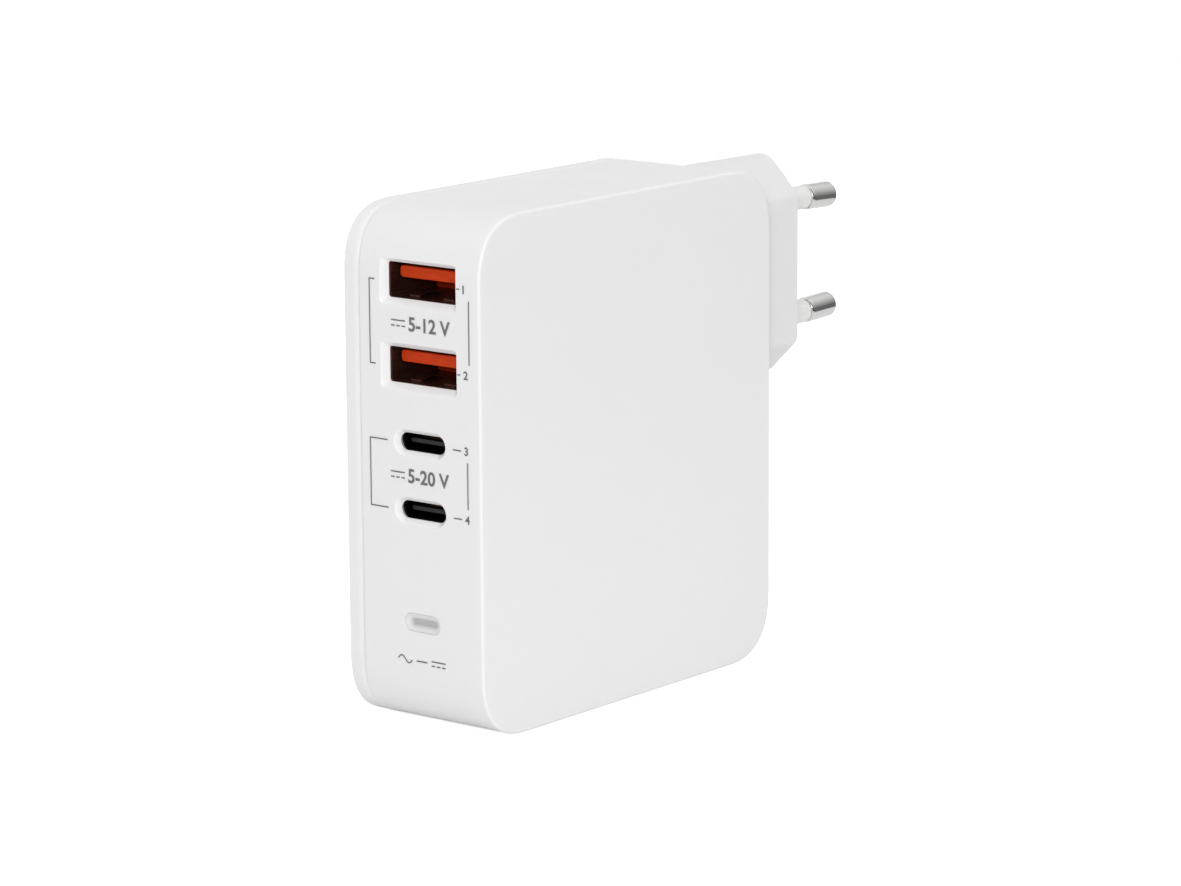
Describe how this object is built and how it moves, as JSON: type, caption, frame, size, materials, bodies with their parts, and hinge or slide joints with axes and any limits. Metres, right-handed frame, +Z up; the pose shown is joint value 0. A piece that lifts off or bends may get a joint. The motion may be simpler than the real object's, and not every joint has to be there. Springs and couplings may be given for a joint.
{
  "type": "usb wall charger",
  "caption": "Slim white USB mains charger: rounded upright block with type-A and type-C sockets on its front edge and a fixed Europlug head with sleeved round pins at the back.",
  "frame": {"origin": "middle of the flat base under the body", "axes": "X across the thickness (the seam is near the -X face), ports face -Y, plug points to +Y, +Z up"},
  "size_m": [0.0252, 0.1, 0.075],
  "materials": {
    "white_shell": "satin moulded white polycarbonate, fine even texture",
    "white_plug": "fine matt white polycarbonate",
    "pin_sleeve": "smooth white nylon sleeve",
    "nickel": "bright nickel plate on brass",
    "contact_bronze": "bare rolled phosphor bronze",
    "port_shell": "stamped steel, black nickel plated",
    "orange_insulator": "orange-red moulded insulator",
    "black_insulator": "black moulded insulator",
    "frosted_pipe": "frosted translucent polycarbonate",
    "led_package": "white package with pale yellow phosphor",
    "fibreglass": "glass-epoxy board with green solder mask",
    "moulded_epoxy": "black moulding compound",
    "ferrite": "sintered ferrite, dull dark grey",
    "winding_tape": "yellow polyester tape over the winding",
    "copper_wire": "enamelled copper wire",
    "capacitor_sleeve": "dark shrink sleeve over an aluminium can",
    "capacitor_can": "bare aluminium can",
    "film_capacitor_box": "yellow plastic box, potted",
    "ceramic_disc": "dipped blue epoxy",
    "pad_grey": "soft silicone gap pad",
    "aluminium_sheet": "mill-finish aluminium sheet",
    "insulation_film": "translucent insulation film"
  },
  "bodies": {
    "root": {"board_header": "moulded_epoxy", "bridge_rectifier": "moulded_epoxy", "bulk_capacitor_lower": "capacitor_sleeve", "bulk_capacitor_upper": "capacitor_sleeve", "choke_base": "moulded_epoxy", "choke_core": "ferrite", "choke_winding_back": "copper_wire", "choke_winding_front": "copper_wire", "fuse": "moulded_epoxy", "heat_spreader": "aluminium_sheet", "insulation_sheet": "insulation_film", "light_pipe": "frosted_pipe", "line_inductor": "ferrite", "main_board": "fibreglass", "main_housing": "white_shell", "mains_controller": "moulded_epoxy", "optocoupler": "moulded_epoxy", "output_capacitor_1": "capacitor_can", "output_capacitor_2": "capacitor_can", "output_capacitor_3": "capacitor_can", "output_capacitor_4": "capacitor_can", "output_inductor_lower": "ferrite", "output_inductor_upper": "ferrite", "pin_clip_lower": "contact_bronze", "pin_clip_upper": "contact_bronze", "pin_lower": "nickel", "pin_sleeve_lower": "pin_sleeve", "pin_sleeve_upper": "pin_sleeve", "pin_upper": "nickel", "plug_block": "white_plug", "port_board": "fibreglass", "port_controller_lower": "moulded_epoxy", "port_controller_upper": "moulded_epoxy", "power_switch": "moulded_epoxy", "side_cover": "white_shell", "status_led": "led_package", "sync_rectifier": "moulded_epoxy", "thermal_pad": "pad_grey", "transformer_bobbin": "moulded_epoxy", "transformer_core": "ferrite", "transformer_winding": "winding_tape", "usb_a_shell_lower": "port_shell", "usb_a_shell_upper": "port_shell", "usb_a_tongue_lower": "orange_insulator", "usb_a_tongue_upper": "orange_insulator", "usb_c_shell_lower": "port_shell", "usb_c_shell_upper": "port_shell", "usb_c_tongue_lower": "black_insulator", "usb_c_tongue_upper": "black_insulator", "varistor": "ceramic_disc", "x_capacitor": "film_capacitor_box", "y_capacitor": "ceramic_disc"}
  },
  "joints": []
}
